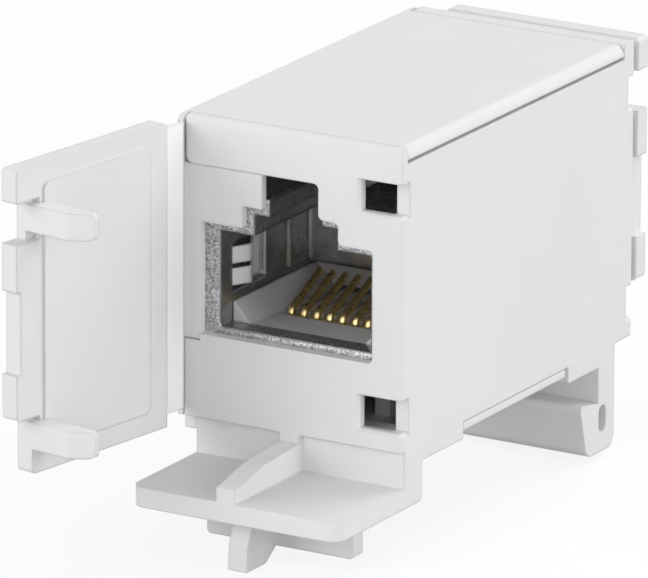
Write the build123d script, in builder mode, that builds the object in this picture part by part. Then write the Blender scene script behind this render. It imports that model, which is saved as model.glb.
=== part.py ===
from build123d import *
import math
import os

# RJ45 inline coupler: two shielded sockets back to back in a two-shell plastic housing with two
# film-hinged dust doors. A hook and a foot under the housing grip a mounting strip.
# The origin is the centre of the underside that sits on the strip, +Y runs from the front socket
# to the rear socket, +X is the side on which the doors open, +Z is up. All sizes are millimetres.

# Housing
width = 17.6
depth = 32.0
height = 21.9
wall = 1.0
face_thickness = 0.75
top_thickness = 0.85
floor_thickness = 1.0
tongue_thickness = 0.55
skirt_drop = 0.6
skirt_setback = 1.0
skirt_front_end = -7.6
skirt_rear_start = 7.0
tongue_slit = 0.45
side_seam = 0.25
seam = 0.05
edge_radius = 0.8
corner_radius = 0.25

# Front and rear faces
lip_height = 3.35
lip_left_gap = 0.68
lip_radius = 0.5
front_lip_depth = 0.7
rear_lip_depth = 1.5
panel_low = 0.6
panel_left_gap = 0.55
panel_top_gap = 0.5
plate_recess = 0.15
edge_strip = 0.45
opening_left = 7.05
opening_right = 6.5
opening_floor = 0.3005 * height
opening_main_top = 0.6621 * height
opening_step = 3.8
opening_step_top = 0.7329 * height
opening_slot = 2.25
opening_radius = 0.4

# Clip windows at the free side of each door
window_width = 3.3
window_depth = 1.0
window_flare = 0.2
upper_window_low = 0.7831 * height
upper_window_high = 0.8881 * height
lower_window_low = 0.0868 * height
lower_window_high = 0.1963 * height

# Metal socket shields
jack_side_gap = 0.5
jack_low = 0.2237 * height
jack_high = 0.758 * height
jack_floor = 0.8
jack_rim = 1.65
jack_rim_chamfer = 0.12
jack_cradle = 1.2
jack_cradle_at = 4.0
jack_cradle_length = 8.0
cavity_half_width = 5.9
cavity_low = 0.3228 * height
cavity_high = 0.6324 * height
cavity_step = 3.25
cavity_step_high = 0.7009 * height
cavity_slot = 2.05
jack_back_wall = 2.95
plug_stop_at = 8.95
plug_stop = 0.22
board_thickness = 1.6
board_side_gap = 0.6
board_low = 0.137 * height
board_high = 0.8219 * height

# Contact carriers
carrier_clearance = 0.05
carrier_top_drop = 0.1
carrier_back_high = 0.4041 * height
carrier_back_setback = 1.4
carrier_bevel_width = 1.4
carrier_bevel_height = 1.5
carrier_slot_depth = 0.9
carrier_slot_margin = 0.35
comb_gap = 0.1
comb_setback = 1.6

# Contacts
contact_count = 8
contact_pitch = 1.016
contact_size = 0.45
contact_front = 6.1
contact_bend = 0.5
contact_angle = 25.0
contact_rise_length = 4.0
contact_floor_gap = 0.05

# Shield springs
spring_thickness = 0.2
spring_low = 0.4315 * height
spring_finger = 1.2
spring_split = 0.35
spring_pocket = 0.5
spring_pocket_margin = 0.3
spring_pocket_length = 4.4
spring_tail = 0.9
spring_length = 3.2
spring_bulge = 0.9
spring_bend = 0.5

# Doors
door_gap = 0.3
door_thickness = 1.3
door_low = 0.4
door_hinge_inset = 2.35
door_overhang = 0.1
door_open_angle = 99.5
door_radius = 0.35
pad_height = 0.2
pad_side_margin = 1.9
pad_top_margin = 1.3
pad_low_margin = 1.5
pad_free_margin = 2.6
pad_radius = 0.6
grip_low = 0.347 * height
grip_high = 0.6119 * height
grip_depth = 0.4
notch_length = 1.5
upper_notch_low = 0.7626 * height
upper_notch_high = 0.895 * height
lower_notch_high = 0.2009 * height
relief_length = 0.8
relief_depth = 0.5

# Clips on the doors
clip_thickness = 1.5
clip_length = 4.65
clip_lead = 1.5
clip_lead_width = 1.1
clip_radius = 0.3
clip_tip_radius = 0.45
upper_clip_low = 0.7922 * height
upper_clip_high = 0.879 * height
lower_clip_low = 0.0982 * height
lower_clip_high = 0.185 * height

# Film hinges
hinge_x = 0.6
hinge_out = 0.66
film_thickness = 0.4
film_clearance = 0.03
film_root = 0.3
film_low = 1.25
film_top_gap = 0.45

# Foot under the front face
foot_left_gap = 1.25
foot_setback = 0.46
foot_thickness = 2.4
foot_root = 1.0
tray_top = -2.05
tray_thickness = 1.4
tray_reach = 8.3
tray_radius = 1.1
foot_radius = 0.5
rib_thickness = 1.5
rib_nose_height = 1.0
rib_slope = 3.7
rib_slope_height = 1.8
rib_back_height = 2.05
rest_level = -7.3
cross_left = 4.7
cross_right = 6.8
cross_back = 1.65
cross_thickness = 1.25
cross_low = -6.4
cross_radius = 0.3
tooth_reach = 6.75
tooth_flat = 2.45
tooth_rake = 1.1
tooth_lean = 0.15
tooth_shoulder = 1.8
tooth_rise = 0.9

# Hook under the rear end
hook_inset = 2.45
hook_web = 2.25
hook_leg = 2.6
hook_top = -3.2
hook_tip_rise = 0.4
hook_tip_radius = 0.4
hook_low = -6.8
hook_rake = 1.0
hook_radius = 0.9
slot_inset = 0.1
slot_width = 1.0
slot_low = -5.4
slot_high = -3.45

# Places worked out from the sizes above
half = width / 2
front_y = -depth / 2
rear_y = depth / 2
inside = half - wall
face_back = front_y + face_thickness
lip_low = height - lip_height
film_high = height - film_top_gap
window_left = half - window_width
jack_half_width = inside - jack_side_gap
board_half_width = inside - board_side_gap
wall_high = height - top_thickness - side_seam
panel_left = -half + panel_left_gap
lip_left = -half + lip_left_gap
strip_inner = -half + edge_strip
panel_high = opening_floor - panel_top_gap
board_face = -board_thickness / 2
foot_left = -half + foot_left_gap
foot_front = front_y + foot_setback
foot_back = foot_front + foot_thickness
tray_front = front_y - tray_reach
tray_low = tray_top - tray_thickness
root_high = panel_low + foot_root
hook_back = rear_y - hook_inset
web_front = hook_back - hook_web
hook_tip = web_front - hook_leg
cross_front_y = front_y - cross_back - cross_thickness
tooth_front = front_y - tooth_reach
tooth_back = tooth_front + tooth_flat
carrier_low = jack_low + jack_floor + carrier_clearance
carrier_top = cavity_low - carrier_top_drop
carrier_front = face_back + jack_rim + carrier_clearance
carrier_half = cavity_half_width - carrier_clearance
carrier_floor = carrier_top - carrier_slot_depth
cavity_back = board_face - jack_back_wall
stop_y = face_back + plug_stop_at
contact_tip = front_y + contact_front
contact_xs = [contact_pitch * (n - (contact_count - 1) / 2) for n in range(contact_count)]
spring_high = spring_low + 2 * spring_finger + spring_split


def lengthwise(x):
    """Upright plane along the housing at x: sketches use (y, z) and extrude towards +X."""
    return Plane.YZ.offset(x)


def across(y):
    """Upright plane across the housing at y: sketches use (x, z) and extrude towards -Y."""
    return Plane.XZ.offset(-y)


def corners_at(*points):
    """The corners of the current sketch that lie at these places."""
    return [v for v in vertices() if any((Vector(v) - Vector(*p)).length < seam / 2 for p in points)]


def plug_outline(side):
    """Outline of the plug cavity with this half width, and the latch slot open at the top."""
    right = [
        (side, cavity_low),
        (side, cavity_high),
        (cavity_step, cavity_high),
        (cavity_step, cavity_step_high),
        (cavity_slot, cavity_step_high),
        (cavity_slot, jack_high + wall),
    ]
    return right + [(-x, z) for x, z in reversed(right)]


# Right shell: side wall, both faces with their lips, foot and hook
with BuildPart() as right_shell:
    with BuildSketch(lengthwise(inside)):
        Polygon(
            (front_y, panel_low),
            (foot_front, panel_low),
            (foot_front, -skirt_drop),
            (skirt_front_end, -skirt_drop),
            (skirt_front_end, tongue_thickness + seam),
            (skirt_rear_start, tongue_thickness + seam),
            (skirt_rear_start, -skirt_drop),
            (hook_back, -skirt_drop),
            (hook_back, panel_low),
            (rear_y, panel_low),
            (rear_y, wall_high),
            (front_y, wall_high),
            align=None,
        )
    extrude(amount=wall)

    # Front and rear face, each with the right part of the plug opening
    face = [
        (panel_left, panel_low),
        (half, panel_low),
        (half, wall_high),
        (lip_left, wall_high),
        (lip_left, lip_low),
        (opening_slot, lip_low),
        (opening_slot, opening_step_top),
        (opening_step, opening_step_top),
        (opening_step, opening_main_top),
        (opening_right, opening_main_top),
        (opening_right, opening_floor),
        (-opening_left, opening_floor),
        (-opening_left, panel_high),
        (panel_left, panel_high),
    ]
    for plane_y in (face_back, rear_y):
        with BuildSketch(across(plane_y)):
            Polygon(*face, align=None)
            fillet(corners_at((lip_left, lip_low)), radius=lip_radius)
            fillet(corners_at(*face[5:11]), radius=opening_radius)
        extrude(amount=face_thickness)

    # The lips end above the side wall, in front of and behind the top plate
    for plane_y, lip_depth in ((front_y + front_lip_depth, front_lip_depth), (rear_y, rear_lip_depth)):
        with BuildSketch(across(plane_y)):
            Polygon(
                (lip_left, wall_high),
                (half, wall_high),
                (half, height),
                (lip_left, height),
                align=None,
            )
        extrude(amount=lip_depth)
    outer = [e for e in edges() if abs(abs(e.center().Y) - rear_y) < seam]
    rounded = [e for e in outer if abs(e.center().Z - height) < seam or abs(e.center().X - half) < seam]
    fillet(rounded, corner_radius)

    # Foot: a tray in front of an upright wall that grips the strip
    with BuildSketch(lengthwise(foot_left)):
        Polygon(
            (tray_front, tray_low),
            (foot_back, tray_low),
            (foot_back, root_high),
            (foot_front, root_high),
            (foot_front, tray_top),
            (tray_front, tray_top),
            align=None,
        )
        fillet(corners_at((foot_back, tray_low)), radius=foot_radius)
    extrude(amount=half - foot_left)
    fillet(edges().filter_by(Axis.Z).group_by(Axis.Y)[0], radius=tray_radius)

    # Rib on the tray, flush with the face above it
    with BuildSketch(lengthwise(-rib_thickness / 2)):
        Polygon(
            (tray_front, tray_low),
            (foot_front, tray_low),
            (foot_front, root_high),
            (front_y, root_high),
            (front_y, tray_top + rib_back_height),
            (tray_front + rib_slope, tray_top + rib_slope_height),
            (tray_front, tray_top + rib_nose_height),
            align=None,
        )
    extrude(amount=rib_thickness)

    # Tooth under the tray that reaches the rest level, and the cross plate behind it
    with BuildSketch(lengthwise(-rib_thickness / 2)):
        Polygon(
            (tooth_front + tooth_rake, tray_top),
            (tooth_front + tooth_rake, tray_low),
            (tooth_front + tooth_lean, rest_level + tooth_shoulder),
            (tooth_front, rest_level),
            (tooth_back, rest_level),
            (cross_front_y, rest_level + tooth_rise),
            (cross_front_y + cross_thickness / 2, rest_level + tooth_rise),
            (cross_front_y + cross_thickness / 2, tray_top),
            align=None,
        )
    extrude(amount=rib_thickness)
    with BuildSketch(across(cross_front_y + cross_thickness)):
        Polygon(
            (-cross_left, cross_low),
            (cross_right, cross_low),
            (cross_right, tray_top),
            (-cross_left, tray_top),
            align=None,
        )
        fillet(corners_at((-cross_left, cross_low), (cross_right, cross_low)), radius=cross_radius)
    extrude(amount=cross_thickness)

    # Hook: a web down from the housing with a leg that springs forward under the strip
    with BuildSketch(lengthwise(foot_left)):
        Polygon(
            (web_front, root_high),
            (web_front, hook_top),
            (hook_tip, hook_top + hook_tip_rise),
            (hook_tip + hook_rake, hook_low),
            (hook_back, hook_low),
            (hook_back, panel_low),
            (rear_y - face_thickness / 2, panel_low),
            (rear_y - face_thickness / 2, root_high),
            align=None,
        )
        fillet(corners_at((hook_tip, hook_top + hook_tip_rise)), radius=hook_tip_radius)
        fillet(corners_at((hook_tip + hook_rake, hook_low), (hook_back, hook_low)), radius=hook_radius)
        with Locations((web_front + slot_inset + slot_width / 2, (slot_low + slot_high) / 2)):
            SlotOverall(slot_high - slot_low, slot_width, rotation=90, mode=Mode.SUBTRACT)
    extrude(amount=half - foot_left)

    # Clip windows, open to the side and flared at their outer edges
    for low, high in ((upper_window_low, upper_window_high), (lower_window_low, lower_window_high)):
        for plane_y in (front_y + window_depth, rear_y):
            with BuildSketch(across(plane_y)):
                Polygon(
                    (window_left, low),
                    (half + wall, low),
                    (half + wall, high),
                    (window_left, high),
                    align=None,
                )
            extrude(amount=window_depth, mode=Mode.SUBTRACT)
        mouth = [e for e in edges() if abs(abs(e.center().Y) - rear_y) < seam]
        mouth = [e for e in mouth if e.center().X > window_left - seam]
        sides = [e for e in mouth if abs(e.center().X - window_left) < seam]
        sides = [e for e in sides if low < e.center().Z < high]
        sills = [e for e in mouth if abs(e.center().Z - low) < seam]
        chamfer(sides + sills, window_flare)
right_shell.part.label = "right_shell"

# Left shell: side wall, recessed plates beside the plug openings, top plate and floor
with BuildPart() as left_shell:
    with BuildSketch(lengthwise(-half)):
        Polygon(
            (front_y, panel_low),
            (front_y + skirt_setback, panel_low),
            (front_y + skirt_setback, -skirt_drop),
            (skirt_front_end, -skirt_drop),
            (skirt_front_end, 0),
            (skirt_rear_start, 0),
            (skirt_rear_start, -skirt_drop),
            (rear_y - skirt_setback, -skirt_drop),
            (rear_y - skirt_setback, panel_low),
            (rear_y, panel_low),
            (rear_y, height),
            (front_y, height),
            align=None,
        )
        fillet(corners_at((front_y, height), (rear_y, height)), radius=edge_radius)
    extrude(amount=wall)
    room_low = panel_low - wall
    rooms = (
        (face_back, face_thickness, room_low),
        (rear_y, face_thickness, room_low),
        (rear_y, rear_lip_depth + seam, wall_high - seam),
    )
    for plane_y, room, low in rooms:
        with BuildSketch(across(plane_y)):
            Polygon(
                (strip_inner, low),
                (0, low),
                (0, height + wall),
                (strip_inner, height + wall),
                align=None,
            )
        extrude(amount=room, mode=Mode.SUBTRACT)

    # Recessed plates: the left part of each plug opening
    plate = [
        (strip_inner, panel_high + seam),
        (-opening_left, panel_high + seam),
        (-opening_left, opening_main_top),
        (-opening_step, opening_main_top),
        (-opening_step, opening_step_top),
        (-opening_slot, opening_step_top),
        (-opening_slot, lip_low - seam),
        (strip_inner, lip_low - seam),
    ]
    for plane_y in (face_back, rear_y - plate_recess):
        with BuildSketch(across(plane_y)):
            Polygon(*plate, align=None)
        extrude(amount=face_thickness - plate_recess)

    # Top plate, which wraps over the side wall of the right shell
    top_front = front_y + front_lip_depth + seam
    top_rear = rear_y - rear_lip_depth - seam
    with BuildSketch(Plane.XY.offset(height - top_thickness)):
        Polygon((-half, top_front), (half, top_front), (half, top_rear), (-half, top_rear), align=None)
    extrude(amount=top_thickness)
    sides = [e for e in edges().filter_by(Axis.Y) if abs(e.center().Z - height) < seam]
    fillet([e for e in sides if abs(e.center().X - half) < seam], radius=edge_radius)
    sides = [e for e in edges().filter_by(Axis.Y) if abs(e.center().Z - height) < seam]
    fillet([e for e in sides if abs(e.center().X + half) < seam], radius=corner_radius)

    # Floor that sits on the strip, with a tongue through the side wall of the right shell
    with BuildSketch(Plane.XY):
        Polygon(
            (-inside, foot_back + seam),
            (inside - seam, foot_back + seam),
            (inside - seam, web_front - seam),
            (-inside, web_front - seam),
            align=None,
        )
    extrude(amount=floor_thickness)
    with BuildSketch(Plane.XY):
        Polygon(
            (inside - wall, skirt_front_end + seam),
            (half, skirt_front_end + seam),
            (half, skirt_rear_start - tongue_slit),
            (inside - wall, skirt_rear_start - tongue_slit),
            align=None,
        )
    extrude(amount=tongue_thickness)

    # Cradle ribs that carry the sockets
    cradle_at = (board_face + cavity_back) / 2 - jack_cradle_length / 2
    with BuildSketch(Plane.XY.offset(floor_thickness)):
        with GridLocations(2 * jack_cradle_at, -2 * cradle_at, 2, 2):
            Rectangle(jack_cradle, jack_cradle_length)
    extrude(amount=jack_low - floor_thickness)

    # Root half of each film hinge, from the edge strip to the bend
    film_edge = rear_y + hinge_out - film_thickness / 2 - film_clearance
    for end in (-1, 1):
        with BuildSketch(Plane.XY.offset(film_low)):
            Polygon(
                (-half, end * (rear_y - film_root)),
                (strip_inner, end * (rear_y - film_root)),
                (strip_inner, end * rear_y),
                (-half + hinge_x + film_thickness / 2, end * film_edge),
                (-half + hinge_x - film_thickness / 2, end * film_edge),
                (-half, end * rear_y),
                align=None,
            )
        extrude(amount=film_high - film_low)
left_shell.part.label = "left_shell"


# Doors: the front one stands open, the rear one is closed
doors = []
for door_name, end, angle in (("front_door", -1, door_open_angle), ("rear_door", 1, 0)):
    turn = math.radians(angle)
    along = (math.cos(turn), -math.sin(turn), 0)
    hinge = (-half + hinge_x, end * (rear_y + hinge_out), 0)
    leaf = Plane(origin=hinge, x_dir=along, z_dir=(-math.sin(turn), -math.cos(turn), 0))
    level = Plane(origin=hinge, x_dir=along, z_dir=(0, 0, 1))
    out = -end
    inner = hinge_out - door_gap
    near = door_hinge_inset - hinge_x
    free = width - hinge_x + door_overhang
    notch = free - notch_length
    with BuildPart() as door:
        with BuildSketch(leaf.offset(-out * inner)):
            Polygon(
                (near, door_low),
                (notch, door_low),
                (notch, lower_notch_high),
                (free, lower_notch_high),
                (free, grip_low),
                (free - grip_depth, grip_low),
                (free - grip_depth, grip_high),
                (free, grip_high),
                (free, upper_notch_low),
                (notch, upper_notch_low),
                (notch, upper_notch_high),
                (free, upper_notch_high),
                (free, height),
                (near, height),
                align=None,
            )
            fillet(
                corners_at((near, height), (free, height), (free, lower_notch_high), (notch, door_low)),
                radius=door_radius,
            )
        extrude(amount=out * door_thickness)

        # Pad on the inner face that closes the plug opening
        with BuildSketch(leaf.offset(-out * inner)):
            Polygon(
                (near + pad_side_margin, door_low + pad_low_margin),
                (free - pad_free_margin, door_low + pad_low_margin),
                (free - pad_free_margin, height - pad_top_margin),
                (near + pad_side_margin, height - pad_top_margin),
                align=None,
            )
            fillet(vertices(), radius=pad_radius)
        extrude(amount=-out * pad_height)

        # Reliefs beside the clips
        for low, high in ((upper_notch_low, upper_notch_high), (lower_clip_low, lower_notch_high)):
            with BuildSketch(leaf.offset(-out * inner)):
                Polygon(
                    (notch - relief_length, low),
                    (notch, low),
                    (notch, high),
                    (notch - relief_length, high),
                    align=None,
                )
            extrude(amount=out * relief_depth, mode=Mode.SUBTRACT)

        # Clips: straight arms with a lead-in and a rounded tip
        root = out * (inner - relief_depth)
        tip = out * (inner + clip_length)
        lead = out * (inner + clip_length - clip_lead)
        for low, high in ((upper_clip_low, upper_clip_high), (lower_clip_low, lower_clip_high)):
            with BuildSketch(level.offset(low)):
                Polygon(
                    (notch, root),
                    (notch, lead),
                    (notch - clip_lead_width, tip),
                    (notch - clip_thickness, tip),
                    (notch - clip_thickness, root),
                    align=None,
                )
                fillet(corners_at((notch, lead)), radius=clip_radius)
            extrude(amount=high - low)
            tip_middle = level.from_local_coords(Vector(notch - clip_thickness, tip, 0))
            ends = [e for e in edges() if abs((e.center() - tip_middle).dot(leaf.z_dir)) < seam]
            ends = [e for e in ends if low - seam < e.center().Z < high + seam]
            fillet([e for e in ends if abs(e.center().Z - (low + high) / 2) > seam], clip_tip_radius)

        # Leaf half of the film hinge with its bend
        with BuildSketch(level.offset(film_low)):
            Polygon(
                (0, -film_thickness / 2),
                (near, -film_thickness / 2),
                (near, film_thickness / 2),
                (0, film_thickness / 2),
                align=None,
            )
            Circle(film_thickness / 2)
        extrude(amount=film_high - film_low)
    door.part.label = door_name
    doors.append(door.part)

# Front metal shield: stepped cavity for the plug, pockets for the springs, room for the carrier
with BuildPart() as front_jack_housing:
    with BuildSketch(across(board_face)):
        Polygon(
            (-jack_half_width, jack_low),
            (jack_half_width, jack_low),
            (jack_half_width, jack_high),
            (-jack_half_width, jack_high),
            align=None,
        )
    extrude(amount=board_face - face_back)
    with BuildSketch(across(stop_y)):
        Polygon(*plug_outline(cavity_half_width), align=None)
    extrude(amount=plug_stop_at, mode=Mode.SUBTRACT)
    rim = [e for e in edges() if abs(e.center().Y - face_back) < seam / 2]
    rim = [e for e in rim if abs(e.center().X) < cavity_half_width + seam]
    chamfer([e for e in rim if cavity_low - seam < e.center().Z < jack_high - seam], jack_rim_chamfer)

    # Behind the plug stops the cavity is a little narrower
    with BuildSketch(across(cavity_back)):
        Polygon(*plug_outline(cavity_half_width - plug_stop), align=None)
    extrude(amount=cavity_back - stop_y, mode=Mode.SUBTRACT)
    with BuildSketch(lengthwise(-cavity_half_width)):
        Polygon(
            (face_back + jack_rim, jack_low + jack_floor),
            (board_face, jack_low + jack_floor),
            (board_face, carrier_back_high),
            (face_back + jack_rim, carrier_back_high),
            align=None,
        )
    extrude(amount=2 * cavity_half_width, mode=Mode.SUBTRACT)
    with BuildSketch(lengthwise(-cavity_half_width - spring_pocket)):
        Polygon(
            (face_back + jack_rim, spring_low - spring_pocket_margin),
            (face_back + jack_rim + spring_pocket_length, spring_low - spring_pocket_margin),
            (face_back + jack_rim + spring_pocket_length, spring_high + spring_pocket_margin),
            (face_back + jack_rim, spring_high + spring_pocket_margin),
            align=None,
        )
    extrude(amount=2 * (cavity_half_width + spring_pocket), mode=Mode.SUBTRACT)
front_jack_housing.part.label = "front_jack_housing"

# Plastic carrier: bevelled floor, back block and the comb that spaces the contacts
with BuildPart() as front_contact_carrier:
    with BuildSketch(across(board_face)):
        Polygon(
            (-carrier_half, carrier_low),
            (carrier_half, carrier_low),
            (carrier_half, carrier_top + carrier_bevel_height),
            (carrier_half - carrier_bevel_width, carrier_top),
            (carrier_bevel_width - carrier_half, carrier_top),
            (-carrier_half, carrier_top + carrier_bevel_height),
            align=None,
        )
    extrude(amount=board_face - carrier_front)
    with BuildSketch(across(board_face)):
        Polygon(
            (-carrier_half, carrier_low),
            (carrier_half, carrier_low),
            (carrier_half, carrier_back_high - carrier_clearance),
            (-carrier_half, carrier_back_high - carrier_clearance),
            align=None,
        )
    extrude(amount=board_face - cavity_back - carrier_back_setback)
    slot_half = contact_xs[-1] + contact_size / 2 + carrier_slot_margin
    with BuildSketch(across(board_face)):
        Polygon(
            (-slot_half, carrier_floor),
            (slot_half, carrier_floor),
            (slot_half, carrier_top),
            (-slot_half, carrier_top),
            align=None,
        )
    extrude(amount=board_face - contact_tip + carrier_slot_margin, mode=Mode.SUBTRACT)
    comb_length = board_face - contact_tip - comb_setback
    with BuildSketch(Plane.XY.offset(carrier_floor)):
        with Locations((0, board_face - comb_length / 2)):
            with GridLocations(contact_pitch, 0, contact_count - 1, 1):
                Rectangle(contact_pitch - contact_size - 2 * comb_gap, comb_length)
    extrude(amount=carrier_slot_depth)
front_contact_carrier.part.label = "front_contact_carrier"

# Contacts: a leg along the floor of the carrier, bent back and up at the front
leg_z = carrier_floor + contact_floor_gap + contact_size / 2
bend_y = contact_tip + contact_size / 2 + contact_bend
contacts = []
for number, x in enumerate(contact_xs, start=1):
    with BuildPart() as contact:
        with BuildSketch(lengthwise(x - contact_size / 2)):
            with BuildLine():
                Line((board_face, leg_z), (bend_y, leg_z))
                bend = CenterArc((bend_y, leg_z + contact_bend), contact_bend, -90, contact_angle - 180)
                PolarLine(bend @ 1, contact_rise_length, contact_angle)
            trace(line_width=contact_size)
        extrude(amount=contact_size)
    contact.part.label = f"front_contact_{number}"
    contacts.append(contact.part)

# Left spring: two fingers that bulge into the cavity, on a common tail
with BuildPart() as front_spring_left:
    spring_x = -cavity_half_width - spring_pocket + spring_thickness / 2
    spring_back = face_back + jack_rim + spring_pocket_length - spring_pocket_margin
    with BuildSketch(Plane.XY.offset(spring_low)):
        with BuildLine():
            Polyline(
                (spring_x, spring_back),
                (spring_x, spring_back - spring_tail),
                (spring_x + spring_bulge, spring_back - spring_tail - spring_length / 2),
                (spring_x, spring_back - spring_tail - spring_length),
            )
            fillet(vertices().sort_by(Axis.Y)[1:3], radius=spring_bend)
        trace(line_width=spring_thickness)
    extrude(amount=spring_high - spring_low)
    with BuildSketch(Plane.XY.offset(spring_low + spring_finger)):
        with Locations((spring_x, spring_back - spring_tail)):
            Rectangle(4 * spring_bulge, 2 * spring_length, align=(Align.CENTER, Align.MAX))
    extrude(amount=spring_split, mode=Mode.SUBTRACT)
front_spring_left.part.label = "front_spring_left"

with BuildPart() as front_spring_right:
    mirror(front_spring_left.part, about=Plane.YZ)
front_spring_right.part.label = "front_spring_right"

# Circuit board between the two sockets
with BuildPart() as circuit_board:
    with BuildSketch(across(-board_face)):
        Polygon(
            (-board_half_width, board_low),
            (board_half_width, board_low),
            (board_half_width, board_high),
            (-board_half_width, board_high),
            align=None,
        )
    extrude(amount=board_thickness)
circuit_board.part.label = "circuit_board"

# The rear socket is the front one seen from the other end
front_pieces = [front_jack_housing.part, front_contact_carrier.part, *contacts]
front_pieces += [front_spring_left.part, front_spring_right.part]
rear_pieces = []
for piece in front_pieces:
    with BuildPart() as rear_piece:
        mirror(piece, about=Plane.XZ)
    rear_piece.part.label = piece.label.replace("front", "rear")
    rear_pieces.append(rear_piece.part)

os.makedirs("parts", exist_ok=True)
body_pieces = [right_shell.part, left_shell.part, *doors, circuit_board.part]
for piece in [*body_pieces, *front_pieces, *rear_pieces]:
    export_step(piece, f"parts/{piece.label}.step")
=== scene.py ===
import math

import bpy
from bpy.props import FloatProperty, FloatVectorProperty, IntProperty, PointerProperty
from mathutils import Matrix, Vector


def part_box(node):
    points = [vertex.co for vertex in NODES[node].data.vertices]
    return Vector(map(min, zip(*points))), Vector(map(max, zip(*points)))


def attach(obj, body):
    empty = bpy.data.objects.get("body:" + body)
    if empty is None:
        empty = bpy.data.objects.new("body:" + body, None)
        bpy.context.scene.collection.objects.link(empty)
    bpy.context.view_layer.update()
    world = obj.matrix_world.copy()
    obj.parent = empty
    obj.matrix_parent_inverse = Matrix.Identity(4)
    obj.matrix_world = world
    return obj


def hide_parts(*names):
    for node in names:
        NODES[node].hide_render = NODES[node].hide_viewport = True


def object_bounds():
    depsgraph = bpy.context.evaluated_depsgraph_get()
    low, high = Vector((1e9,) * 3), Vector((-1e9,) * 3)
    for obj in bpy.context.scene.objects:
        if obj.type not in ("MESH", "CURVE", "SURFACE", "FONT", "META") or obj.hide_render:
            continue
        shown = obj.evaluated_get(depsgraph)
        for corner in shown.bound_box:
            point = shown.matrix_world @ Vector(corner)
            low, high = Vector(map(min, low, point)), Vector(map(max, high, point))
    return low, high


bl_info = {
    "name": "Inline Coupler",
    "version": (1, 0, 0),
    "blender": (4, 5, 0),
    "location": "3D View > Sidebar > Coupler",
    "description": "Finishes an inline network coupler with hinged dust doors",
    "category": "Object",
}

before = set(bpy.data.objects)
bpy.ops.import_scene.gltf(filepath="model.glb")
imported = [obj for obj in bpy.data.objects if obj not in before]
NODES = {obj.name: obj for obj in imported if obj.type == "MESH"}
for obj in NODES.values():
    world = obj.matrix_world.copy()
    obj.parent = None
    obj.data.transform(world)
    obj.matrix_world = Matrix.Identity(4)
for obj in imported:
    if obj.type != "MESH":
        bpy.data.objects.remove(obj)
CAD_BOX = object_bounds()
ENDS = ("front", "rear")
MM = 0.001

# The camera, as the photograph was taken: a long lens, slightly above and right of the front
PHOTO_WIDTH = 648
PHOTO_AZIMUTH = 30.4352
PHOTO_ELEVATION = 16.9688
PHOTO_ROLL = 0.2330
PHOTO_FOCAL_PX = 11484.67
PHOTO_DISTANCE = 0.76899
PHOTO_AIM = Vector((0.004851, -0.019618, 0.012564))
SENSOR_WIDTH = 36.0
NEAREST, FARTHEST = 0.01, 20.0

# Soft square lamps: name, azimuth from the front towards the right, elevation, size, power setting
LAMPS = (
    ("lamp high", 155.0, 52.0, 0.40, "high_power"),
    ("lamp right", 84.0, 14.0, 0.40, "right_power"),
    ("lamp front", 34.0, 14.0, 0.30, "front_power"),
    ("lamp left", -36.0, 20.0, 0.40, "left_power"),
)
LAMP_DISTANCE = 0.55

# Where the film hinges bend, seen from above, with Y counted towards either end
HINGE_LINE = (-8.2 * MM, 16.66 * MM, 0.0)
FILM_BLUR = 0.1 * MM

# The outer faces of the two castings lie this far from the middle, and turn this much towards the end; the
# walls inside get painted shade
CAST_FACE_START, CAST_FACE_END = 13.0 * MM, 13.5 * MM
FACE_TURN_START, FACE_TURN_END = 0.6, 0.9

# Fineness of the soft edges, of a wire's bend and of the rounded corners of its section
EDGE_SAMPLES = 8
BEND_STEPS = 14
CORNER_STEPS = 4

# Radius of those corners as a share of the thickness, and the corners of a face on a wire's side
CORNER_SHARE = 0.32
SIDE_CORNERS = 4

WHITE = (1.0, 1.0, 1.0, 1.0)


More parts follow.
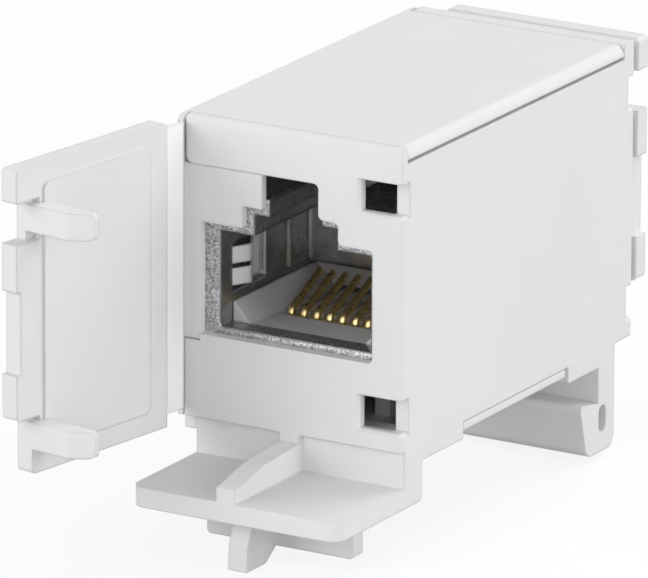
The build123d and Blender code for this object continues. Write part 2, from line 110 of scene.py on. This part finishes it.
class CouplerFinish(bpy.types.PropertyGroup):
    """Colours and surface of the plastic, metal and gold pieces"""

    housing_colour: FloatVectorProperty(
        name="Housing colour", description="Colour of the shells and doors", subtype="COLOR",
        size=3, min=0.0, max=1.0, default=(0.80, 0.80, 0.80),
    )
    shield_colour: FloatVectorProperty(
        name="Shield colour", description="Colour of the plated die casting", subtype="COLOR",
        size=3, min=0.0, max=1.0, default=(0.40, 0.40, 0.41),
    )
    spring_colour: FloatVectorProperty(
        name="Spring colour", description="Colour of the bright shield springs", subtype="COLOR",
        size=3, min=0.0, max=1.0, default=(1.0, 1.0, 1.0),
    )
    carrier_colour: FloatVectorProperty(
        name="Carrier colour", description="Colour of the contact carriers", subtype="COLOR",
        size=3, min=0.0, max=1.0, default=(0.66, 0.66, 0.67),
    )
    contact_colour: FloatVectorProperty(
        name="Contact colour", description="Colour of the gold plating", subtype="COLOR",
        size=3, min=0.0, max=1.0, default=(1.0, 0.77, 0.37),
    )
    board_colour: FloatVectorProperty(
        name="Board colour", description="Colour of the circuit board", subtype="COLOR",
        size=3, min=0.0, max=1.0, default=(0.04, 0.20, 0.08),
    )
    edge_radius: FloatProperty(
        name="Edge radius", description="Soft edge of the mouldings", subtype="DISTANCE", unit="LENGTH",
        min=0.0, max=0.001, default=0.20 * MM,
    )
    door_edge: FloatProperty(
        name="Door edge", description="Rounded edge of the doors and pads",
        subtype="DISTANCE", unit="LENGTH",
        min=0.0, max=0.001, default=0.26 * MM,
    )
    # Painted light: a paler colour on the door plastic near the film hinges, for light shining through the
    # thin film
    film_painted_light: FloatVectorProperty(
        name="Film colour", description="Colour of the thin hinge film", subtype="COLOR",
        size=3, min=0.0, max=1.0, default=(0.97, 0.97, 0.97),
    )
    # How far from the hinge line that painted light reaches
    film_light_reach: FloatProperty(
        name="Film reach", description="How far the pale hinge film reaches",
        subtype="DISTANCE", unit="LENGTH",
        min=0.0, max=0.005, default=1.6 * MM,
    )
    shield_edge: FloatProperty(
        name="Shield edge", description="Rounded edge of the die casting",
        subtype="DISTANCE", unit="LENGTH",
        min=0.0, max=0.001, default=0.50 * MM,
    )
    spring_edge: FloatProperty(
        name="Spring edge", description="Rounded edge of the spring fingers",
        subtype="DISTANCE", unit="LENGTH",
        min=0.0, max=0.001, default=0.3 * MM,
    )


class CouplerContacts(bpy.types.PropertyGroup):
    """Sizes of the contact wires"""

    count: IntProperty(
        name="Contacts", description="Contact wires in each socket", min=2, max=10, default=8,
    )
    thickness: FloatProperty(
        name="Wire thickness", description="Thickness of a contact wire",
        subtype="DISTANCE", unit="LENGTH",
        min=0.0001, max=0.001, default=0.45 * MM,
    )
    bend: FloatProperty(
        name="Bend radius", description="Radius of the bend at the tip",
        subtype="DISTANCE", unit="LENGTH",
        min=0.0001, max=0.002, default=0.5 * MM,
    )
    rise: FloatProperty(
        name="Rise", description="Angle at which a wire rises into the cavity", subtype="ANGLE",
        min=0.0, max=1.2, default=math.radians(25.0),
    )


class CouplerStage(bpy.types.PropertyGroup):
    """Light and floor"""

    floor_size: FloatProperty(
        name="Floor size", description="Width of the pale floor", subtype="DISTANCE", unit="LENGTH",
        min=0.1, max=5.0, default=1.6,
    )
    floor_shadow: FloatProperty(
        name="Floor shadow", description="How much of the shadow the camera sees on the white floor",
        subtype="FACTOR", min=0.0, max=1.0, default=0.14,
    )
    floor_bounce: FloatProperty(
        name="Floor bounce", description="How pale the floor is for the light that it throws back",
        subtype="FACTOR", min=0.0, max=1.0, default=0.6,
    )
    ambient: FloatProperty(
        name="Ambient", description="Strength of the even light from all sides",
        min=0.0, max=2.0, default=0.25,
    )
    high_power: FloatProperty(
        name="High", description="Power of the lamp above and behind", subtype="POWER", unit="POWER",
        min=0.0, max=20.0, default=1.65,
    )
    right_power: FloatProperty(
        name="Right", description="Power of the lamp on the right", subtype="POWER", unit="POWER",
        min=0.0, max=20.0, default=1.35,
    )
    front_power: FloatProperty(
        name="Front", description="Power of the lamp in front", subtype="POWER", unit="POWER",
        min=0.0, max=20.0, default=0.5,
    )
    left_power: FloatProperty(
        name="Left", description="Power of the lamp in front on the left", subtype="POWER", unit="POWER",
        min=0.0, max=20.0, default=1.75,
    )


def new_material(name):
    """An empty node material with its Principled shader and Object coordinates."""
    material = bpy.data.materials.new(name)
    material.use_nodes = True
    nodes = material.node_tree.nodes
    nodes.clear()
    output = nodes.new("ShaderNodeOutputMaterial")
    shader = nodes.new("ShaderNodeBsdfPrincipled")
    coordinates = nodes.new("ShaderNodeTexCoord")
    material.node_tree.links.new(shader.outputs["BSDF"], output.inputs["Surface"])
    return material, shader, coordinates.outputs["Object"]


def noise(material, place, scale, detail=3.0, roughness=0.55):
    """Noise at this many cells per metre."""
    node = material.node_tree.nodes.new("ShaderNodeTexNoise")
    node.inputs["Scale"].default_value = scale
    node.inputs["Detail"].default_value = detail
    node.inputs["Roughness"].default_value = roughness
    material.node_tree.links.new(place, node.inputs["Vector"])
    return node.outputs["Fac"]


def spread(material, value, low, high, start=0.3, end=0.7):
    """Maps the values from start to end to the range from low to high."""
    node = material.node_tree.nodes.new("ShaderNodeMapRange")
    node.inputs["From Min"].default_value = start
    node.inputs["From Max"].default_value = end
    node.inputs["To Min"].default_value = low
    node.inputs["To Max"].default_value = high
    material.node_tree.links.new(value, node.inputs["Value"])
    return node.outputs["Result"]


def blend(material, value, first, second):
    """Goes from a first to a second colour, each a colour or the output of a node."""
    node = material.node_tree.nodes.new("ShaderNodeMix")
    node.data_type = "RGBA"
    for socket, colour in ((node.inputs["A"], first), (node.inputs["B"], second)):
        if isinstance(colour, bpy.types.NodeSocket):
            material.node_tree.links.new(colour, socket)
        else:
            socket.default_value = (*[min(1.0, part) for part in colour], 1.0)
    material.node_tree.links.new(value, node.inputs["Factor"])
    return node.outputs["Result"]


def tint(material, value, colour, darker, lighter):
    """Varies a colour between a darker and a lighter share of itself."""
    return blend(
        material, value,
        [part * darker for part in colour],
        [part * lighter for part in colour],
    )


def folded_at_middle(material, vector):
    """The X and the unsigned Y of a vector, so that both ends of the coupler read alike."""
    nodes, links = material.node_tree.nodes, material.node_tree.links
    split = nodes.new("ShaderNodeSeparateXYZ")
    size = nodes.new("ShaderNodeMath")
    size.operation = "ABSOLUTE"
    links.new(vector, split.inputs["Vector"])
    links.new(split.outputs["Y"], size.inputs[0])
    return split.outputs["X"], size.outputs["Value"]


def relief(material, shader, height, depth, strength, edge=0.0):
    """Gives the shader a bump from height, over edges softened by a small radius, and returns it."""
    nodes, links = material.node_tree.nodes, material.node_tree.links
    bump = nodes.new("ShaderNodeBump")
    bump.inputs["Distance"].default_value = depth
    bump.inputs["Strength"].default_value = strength
    links.new(height, bump.inputs["Height"])
    if edge:
        soft = nodes.new("ShaderNodeBevel")
        soft.samples = EDGE_SAMPLES
        soft.inputs["Radius"].default_value = edge
        links.new(soft.outputs["Normal"], bump.inputs["Normal"])
    links.new(bump.outputs["Normal"], shader.inputs["Normal"])
    return bump


def near_hinge(material, place, reach):
    """1 within reach of a film hinge's line, at either end of the coupler, and 0 away from it."""
    nodes, links = material.node_tree.nodes, material.node_tree.links
    flat = nodes.new("ShaderNodeCombineXYZ")
    away = nodes.new("ShaderNodeVectorMath")
    away.operation = "DISTANCE"
    away.inputs[1].default_value = HINGE_LINE
    across, along = folded_at_middle(material, place)
    links.new(across, flat.inputs["X"])
    links.new(along, flat.inputs["Y"])
    links.new(flat.outputs["Vector"], away.inputs[0])
    return spread(
        material, away.outputs["Value"], low=1.0, high=0.0,
        start=reach - FILM_BLUR, end=reach + FILM_BLUR,
    )


def moulded_plastic(name, colour, edge, grain=5200.0, gloss=0.52, film=None):
    """Satin moulded plastic with a fine grain and a drift of tone. film is the colour and reach of painted
    light near the film hinges.
    """
    material, shader, place = new_material(name)
    links = material.node_tree.links
    drift = noise(material, place, scale=90.0, detail=2.0)
    fine = noise(material, place, scale=grain, detail=4.0, roughness=0.6)
    tone = tint(material, spread(material, drift, low=0.0, high=1.0), colour, darker=0.985, lighter=1.012)
    # Painted light: paler near the film hinges, for light shining through the thin film
    if film:
        film_painted_light, reach = film
        tone = blend(material, near_hinge(material, place, reach), tone, film_painted_light)
    links.new(tone, shader.inputs["Base Color"])
    links.new(spread(material, fine, low=gloss - 0.05, high=gloss + 0.08), shader.inputs["Roughness"])
    shader.inputs["Specular IOR Level"].default_value = 0.35
    relief(material, shader, fine, depth=0.012 * MM, strength=0.25, edge=edge)
    return material


def outer_face(material, place):
    """1 on the faces that look out of the coupler's ends, and 0 inside the sockets, where the casting gets
    painted shade.
    """
    nodes, links = material.node_tree.nodes, material.node_tree.links
    both = nodes.new("ShaderNodeMath")
    both.operation = "MULTIPLY"
    turned = folded_at_middle(material, place.node.outputs["Normal"])[1]
    away = folded_at_middle(material, place)[1]
    limits = ((turned, FACE_TURN_START, FACE_TURN_END), (away, CAST_FACE_START, CAST_FACE_END))
    for socket, (value, start, end) in zip(both.inputs, limits):
        links.new(spread(material, value, low=0.0, high=1.0, start=start, end=end), socket)
    return both.outputs["Value"]


def cast_metal(name, colour, edge):
    """Nickel-plated die casting: a rough speckled face at each end, its grain lifted as a painted
    highlight, and smooth walls inside, painted darker as painted shade.
    """
    material, shader, place = new_material(name)
    links = material.node_tree.links
    face = outer_face(material, place)
    grain = noise(material, place, scale=7500.0, roughness=0.6)
    patches = noise(material, place, scale=700.0, roughness=0.6)
    specks = spread(material, grain, low=0.0, high=1.0, start=0.38, end=0.66)
    # End faces: speckled grain, the casting's own texture, lifted up to 1.8 times as a painted highlight
    face_grain_highlight = tint(material, specks, colour, darker=0.5, lighter=1.8)
    # Walls inside the sockets: painted shade, the colour darkened down to 0.55 of itself
    shaded_inner_walls = tint(material, patches, colour, darker=0.55, lighter=1.0)
    links.new(blend(material, face, shaded_inner_walls, face_grain_highlight), shader.inputs["Base Color"])
    links.new(spread(material, patches, low=0.18, high=0.32), shader.inputs["Roughness"])
    shader.inputs["Metallic"].default_value = 0.75
    bump = relief(material, shader, grain, depth=0.045 * MM, strength=0.7, edge=edge)
    strength = spread(material, face, low=0.15, high=1.0, start=0.0, end=1.0)
    links.new(strength, bump.inputs["Strength"])
    return material


def spring_strip(name, colour, edge):
    """Bright rolled strip with fine lengthwise lines."""
    material, shader, place = new_material(name)
    links = material.node_tree.links
    stretch = material.node_tree.nodes.new("ShaderNodeMapping")
    stretch.inputs["Scale"].default_value = (1.0, 0.08, 1.0)
    links.new(place, stretch.inputs["Vector"])
    lines = noise(material, stretch.outputs["Vector"], scale=9000.0, roughness=0.5)
    links.new(tint(material, lines, colour, darker=0.93, lighter=1.03), shader.inputs["Base Color"])
    links.new(spread(material, lines, low=0.3, high=0.42), shader.inputs["Roughness"])
    shader.inputs["Metallic"].default_value = 0.25
    relief(material, shader, lines, depth=0.006 * MM, strength=0.3, edge=edge)
    return material


def gold_plate(name, colour):
    """Gold plating with slight polishing marks."""
    material, shader, place = new_material(name)
    links = material.node_tree.links
    marks = noise(material, place, scale=3600.0, roughness=0.5)
    links.new(tint(material, marks, colour, darker=0.9, lighter=1.05), shader.inputs["Base Color"])
    links.new(spread(material, marks, low=0.24, high=0.38), shader.inputs["Roughness"])
    shader.inputs["Metallic"].default_value = 1.0
    return material


def solder_mask(name, colour):
    """Glossy solder mask over a faint weave."""
    material, shader, place = new_material(name)
    links = material.node_tree.links
    weave = material.node_tree.nodes.new("ShaderNodeTexWave")
    weave.inputs["Scale"].default_value = 900.0
    weave.inputs["Distortion"].default_value = 1.5
    links.new(place, weave.inputs["Vector"])
    cloud = noise(material, place, scale=400.0)
    links.new(tint(material, cloud, colour, darker=0.85, lighter=1.2), shader.inputs["Base Color"])
    links.new(spread(material, cloud, low=0.28, high=0.4), shader.inputs["Roughness"])
    relief(material, shader, weave.outputs["Fac"], depth=0.01 * MM, strength=0.2)
    return material


def dress(node_name, material):
    """Gives a CAD node its finish."""
    node = NODES[node_name]
    if not node.material_slots:
        node.data.materials.append(material)
    for index in range(len(node.material_slots)):
        node.material_slots[index].material = material


def white_to_camera(tree, lit, share):
    """Mixes a lit shader with plain white, for the camera and for what metal mirrors."""
    nodes, links = tree.nodes, tree.links
    path = nodes.new("ShaderNodeLightPath")
    seen = nodes.new("ShaderNodeMath")
    seen.operation = "MAXIMUM"
    links.new(path.outputs["Is Camera Ray"], seen.inputs[0])
    links.new(path.outputs["Is Glossy Ray"], seen.inputs[1])
    weight = nodes.new("ShaderNodeMath")
    weight.operation = "MULTIPLY"
    weight.inputs[1].default_value = share
    links.new(seen.outputs["Value"], weight.inputs[0])
    white = nodes.new("ShaderNodeEmission")
    white.inputs["Color"].default_value = WHITE
    mixed = nodes.new("ShaderNodeMixShader")
    links.new(weight.outputs["Value"], mixed.inputs["Fac"])
    links.new(lit, mixed.inputs[1])
    links.new(white.outputs["Emission"], mixed.inputs[2])
    return mixed.outputs["Shader"]


class COUPLER_OT_housing(bpy.types.Operator):
    """Finish the two shells and the two dust doors in satin plastic"""

    bl_idname = "coupler.housing"
    bl_label = "Housing and doors"

    def execute(self, context):
        look = context.scene.coupler_finish
        shell = moulded_plastic("housing plastic", look.housing_colour, look.edge_radius)
        # The doors carry the painted light near their film hinges
        film = (look.film_painted_light, look.film_light_reach)
        leaf = moulded_plastic("door plastic", look.housing_colour, look.door_edge, film=film)
        for name in ("right_shell", "left_shell"):
            dress(name, shell)
        for end in ENDS:
            dress(f"{end}_door", leaf)
        return {"FINISHED"}


class COUPLER_OT_sockets(bpy.types.Operator):
    """Finish the cast shields, their springs and the contact carriers"""

    bl_idname = "coupler.sockets"
    bl_label = "Sockets"

    def execute(self, context):
        look = context.scene.coupler_finish
        shield = cast_metal("plated casting", look.shield_colour, look.shield_edge)
        spring = spring_strip("spring strip", look.spring_colour, look.spring_edge)
        carrier = moulded_plastic(
            "carrier plastic", look.carrier_colour, look.edge_radius, grain=4200.0, gloss=0.45,
        )
        for end in ENDS:
            dress(f"{end}_jack_housing", shield)
            dress(f"{end}_contact_carrier", carrier)
            for side in ("left", "right"):
                dress(f"{end}_spring_{side}", spring)
        return {"FINISHED"}


class COUPLER_OT_board(bpy.types.Operator):
    """Finish the circuit board between the sockets"""

    bl_idname = "coupler.board"
    bl_label = "Circuit board"

    def execute(self, context):
        dress("circuit_board", solder_mask("solder mask", context.scene.coupler_finish.board_colour))
        return {"FINISHED"}


def wire_path(name, end, low, high, wires):
    """The centre line of a contact wire: along the floor, round the tip, up into the cavity."""
    outward = -1.0 if end == "front" else 1.0
    x = (low.x + high.x) / 2
    half = wires.thickness / 2
    tip, root = (low.y, high.y) if outward < 0 else (high.y, low.y)
    leg = low.z + half
    centre_y = tip - outward * (half + wires.bend)
    centre_z = leg + wires.bend
    turn = math.pi - wires.rise
    points = [Vector((x, root, leg))]
    for step in range(BEND_STEPS + 1):
        angle = turn * step / BEND_STEPS
        points.append(Vector((
            x,
            centre_y + outward * wires.bend * math.sin(angle),
            centre_z - wires.bend * math.cos(angle),
        )))
    run = (high.z - points[-1].z - half * math.cos(wires.rise)) / math.sin(wires.rise)
    rising = Vector((0.0, -outward * math.cos(wires.rise), math.sin(wires.rise)))
    points.append(points[-1] + rising * run)
    data = bpy.data.curves.new(name, "CURVE")
    data.dimensions = "3D"
    spline = data.splines.new("POLY")
    spline.points.add(len(points) - 1)
    for target, point in zip(spline.points, points):
        target.co = (*point, 1.0)
    return data


def wire_tree(material):
    """Geometry nodes that sweep a rounded section along the path and repeat it at the pitch."""
    tree = bpy.data.node_groups.new("contact row", "GeometryNodeTree")
    sockets = {}
    face = tree.interface
    face.new_socket("Geometry", in_out="INPUT", socket_type="NodeSocketGeometry")
    for label, kind in (("Count", "Int"), ("Pitch", "Float"), ("Thickness", "Float"), ("Corner", "Float")):
        socket = face.new_socket(label, in_out="INPUT", socket_type=f"NodeSocket{kind}")
        sockets[label] = socket.identifier
    face.new_socket("Geometry", in_out="OUTPUT", socket_type="NodeSocketGeometry")
    nodes, links = tree.nodes, tree.links
    given = nodes.new("NodeGroupInput")
    result = nodes.new("NodeGroupOutput")
    section = nodes.new("GeometryNodeCurvePrimitiveQuadrilateral")
    rounded = nodes.new("GeometryNodeFilletCurve")
    rounded.mode = "POLY"
    rounded.inputs["Count"].default_value = CORNER_STEPS
    sweep = nodes.new("GeometryNodeCurveToMesh")
    sweep.inputs["Fill Caps"].default_value = True
    row = nodes.new("GeometryNodeMeshLine")
    offset = nodes.new("ShaderNodeCombineXYZ")
    repeat = nodes.new("GeometryNodeInstanceOnPoints")
    real = nodes.new("GeometryNodeRealizeInstances")
    paint = nodes.new("GeometryNodeSetMaterial")
    paint.inputs["Material"].default_value = material
    links.new(given.outputs["Thickness"], section.inputs["Width"])
    links.new(given.outputs["Thickness"], section.inputs["Height"])
    links.new(section.outputs["Curve"], rounded.inputs["Curve"])
    links.new(given.outputs["Corner"], rounded.inputs["Radius"])
    links.new(given.outputs["Geometry"], sweep.inputs["Curve"])
    links.new(rounded.outputs["Curve"], sweep.inputs["Profile Curve"])
    links.new(given.outputs["Count"], row.inputs["Count"])
    links.new(given.outputs["Pitch"], offset.inputs["X"])
    links.new(offset.outputs["Vector"], row.inputs["Offset"])
    links.new(row.outputs["Mesh"], repeat.inputs["Points"])
    links.new(sweep.outputs["Mesh"], repeat.inputs["Instance"])
    links.new(repeat.outputs["Instances"], real.inputs["Geometry"])
    links.new(real.outputs["Geometry"], paint.inputs["Geometry"])
    links.new(paint.outputs["Geometry"], result.inputs["Geometry"])
    return tree, sockets


def plain_mesh(maker, name):
    """Turns the result of an object's modifiers into a plain mesh object at the origin."""
    bpy.context.view_layer.update()
    shown = maker.evaluated_get(bpy.context.evaluated_depsgraph_get())
    mesh = bpy.data.meshes.new_from_object(shown)
    piece = bpy.data.objects.new(name, mesh)
    bpy.context.scene.collection.objects.link(piece)
    source = maker.data
    bpy.data.objects.remove(maker)
    bpy.data.curves.remove(source)
    return piece


class COUPLER_OT_contacts(bpy.types.Operator):
    """Make the rows of gold-plated contact wires"""

    bl_idname = "coupler.contacts"
    bl_label = "Contact wires"

    def execute(self, context):
        wires = context.scene.coupler_contacts
        gold = gold_plate("gold plating", context.scene.coupler_finish.contact_colour)
        tree, sockets = wire_tree(gold)
        for end in ENDS:
            names = [f"{end}_contact_{number}" for number in range(1, wires.count + 1)]
            low, high = (Vector(corner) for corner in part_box(names[0]))
            last = Vector(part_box(names[-1])[0])
            path = wire_path(f"{end}_path", end, low, high, wires)
            maker = bpy.data.objects.new(f"{end}_wire_path", path)
            context.scene.collection.objects.link(maker)
            modifier = maker.modifiers.new("row", "NODES")
            modifier.node_group = tree
            modifier[sockets["Count"]] = wires.count
            modifier[sockets["Pitch"]] = (last.x - low.x) / (wires.count - 1)
            modifier[sockets["Thickness"]] = wires.thickness
            modifier[sockets["Corner"]] = wires.thickness * CORNER_SHARE
            piece = plain_mesh(maker, f"{end}_contact_wires")
            for polygon in piece.data.polygons:
                polygon.use_smooth = len(polygon.vertices) <= SIDE_CORNERS
            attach(piece, "housing")
            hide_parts(*names)
        return {"FINISHED"}


def look_from(azimuth, elevation, roll):
    """Right, up and forward of a camera that looks at the object from there, in degrees."""
    turn, tilt, lean = (math.radians(angle) for angle in (azimuth, elevation, roll))
    forward = Vector((
        -math.sin(turn) * math.cos(tilt),
        math.cos(turn) * math.cos(tilt),
        -math.sin(tilt),
    ))
    level = Vector((math.cos(turn), math.sin(turn), 0.0))
    upright = level.cross(forward)
    right = level * math.cos(lean) + upright * math.sin(lean)
    up = upright * math.cos(lean) - level * math.sin(lean)
    return right, up, forward


def facing(azimuth, elevation, target, distance, roll=0.0):
    """A matrix that looks at target from this side and distance."""
    right, up, forward = look_from(azimuth, elevation, roll)
    turn = Matrix((right, up, -forward)).transposed().to_4x4()
    return Matrix.Translation(Vector(target) - forward * distance) @ turn


class COUPLER_OT_stage(bpy.types.Operator):
    """Add the camera, the soft lamps, the pale floor and the white background"""

    bl_idname = "coupler.stage"
    bl_label = "Stage"

    def execute(self, context):
        stage = context.scene.coupler_stage
        scene = context.scene
        scene.view_settings.view_transform = "Standard"
        self.add_camera(scene)
        self.add_floor(stage)
        self.add_world(scene, stage)
        centre = (Vector(CAD_BOX[0]) + Vector(CAD_BOX[1])) / 2
        for name, azimuth, elevation, size, setting in LAMPS:
            light = bpy.data.lights.new(name, "AREA")
            light.shape = "SQUARE"
            light.size = size
            light.energy = getattr(stage, setting)
            lamp = bpy.data.objects.new(name, light)
            scene.collection.objects.link(lamp)
            lamp.matrix_world = facing(azimuth, elevation, centre, LAMP_DISTANCE)
        return {"FINISHED"}

    @staticmethod
    def add_camera(scene):
        data = bpy.data.cameras.new("photo camera")
        data.sensor_width = SENSOR_WIDTH
        data.lens = PHOTO_FOCAL_PX / PHOTO_WIDTH * data.sensor_width
        data.clip_start = NEAREST
        data.clip_end = FARTHEST
        camera = bpy.data.objects.new("photo camera", data)
        scene.collection.objects.link(camera)
        camera.matrix_world = facing(
            PHOTO_AZIMUTH, PHOTO_ELEVATION, PHOTO_AIM, PHOTO_DISTANCE, PHOTO_ROLL,
        )
        scene.camera = camera

    @staticmethod
    def add_floor(stage):
        level = CAD_BOX[0][2]
        reach = stage.floor_size / 2
        mesh = bpy.data.meshes.new("floor")
        quarters = ((-1, -1), (1, -1), (1, 1), (-1, 1))
        corners = [(reach * across, reach * along, level) for across, along in quarters]
        mesh.from_pydata(corners, [], [(0, 1, 2, 3)])
        floor = bpy.data.objects.new("floor", mesh)
        bpy.context.scene.collection.objects.link(floor)
        material = bpy.data.materials.new("pale floor")
        material.use_nodes = True
        tree = material.node_tree
        tree.nodes.clear()
        output = tree.nodes.new("ShaderNodeOutputMaterial")
        matt = tree.nodes.new("ShaderNodeBsdfDiffuse")
        path = tree.nodes.new("ShaderNodeLightPath")
        paint = tree.nodes.new("ShaderNodeMix")
        paint.data_type = "RGBA"
        paint.inputs["A"].default_value = (*[stage.floor_bounce] * 3, 1.0)
        paint.inputs["B"].default_value = WHITE
        tree.links.new(path.outputs["Is Camera Ray"], paint.inputs["Factor"])
        tree.links.new(paint.outputs["Result"], matt.inputs["Color"])
        seen = white_to_camera(tree, matt.outputs["BSDF"], 1.0 - stage.floor_shadow)
        tree.links.new(seen, output.inputs["Surface"])
        mesh.materials.append(material)

    @staticmethod
    def add_world(scene, stage):
        world = bpy.data.worlds.new("white room")
        world.use_nodes = True
        tree = world.node_tree
        tree.nodes.clear()
        output = tree.nodes.new("ShaderNodeOutputWorld")
        even = tree.nodes.new("ShaderNodeBackground")
        even.inputs["Color"].default_value = WHITE
        even.inputs["Strength"].default_value = stage.ambient
        seen = white_to_camera(tree, even.outputs["Background"], 1.0)
        tree.links.new(seen, output.inputs["Surface"])
        scene.world = world


GROUPS = (
    ("coupler_finish", CouplerFinish),
    ("coupler_contacts", CouplerContacts),
    ("coupler_stage", CouplerStage),
)

OPERATORS = (
    COUPLER_OT_housing,
    COUPLER_OT_sockets,
    COUPLER_OT_board,
    COUPLER_OT_contacts,
    COUPLER_OT_stage,
)


class COUPLER_PT_panel(bpy.types.Panel):
    """Shows the coupler's settings and a button for each of its steps"""

    bl_idname = "COUPLER_PT_panel"
    bl_label = "Inline Coupler"
    bl_space_type = "VIEW_3D"
    bl_region_type = "UI"
    bl_category = "Coupler"

    def draw(self, context):
        layout = self.layout
        for label, kind in GROUPS:
            box = layout.box()
            for name in kind.__annotations__:
                box.prop(getattr(context.scene, label), name)
        for operator in OPERATORS:
            layout.operator(operator.bl_idname)


def register():
    for name, group in GROUPS:
        bpy.utils.register_class(group)
        setattr(bpy.types.Scene, name, PointerProperty(type=group))
    for item in (*OPERATORS, COUPLER_PT_panel):
        bpy.utils.register_class(item)


def unregister():
    for item in reversed((*OPERATORS, COUPLER_PT_panel)):
        bpy.utils.unregister_class(item)
    for name, group in reversed(GROUPS):
        delattr(bpy.types.Scene, name)
        bpy.utils.unregister_class(group)


def main():
    register()
    bpy.ops.coupler.housing()
    bpy.ops.coupler.sockets()
    bpy.ops.coupler.board()
    bpy.ops.coupler.contacts()
    bpy.ops.coupler.stage()


if __name__ == "__main__":
    main()
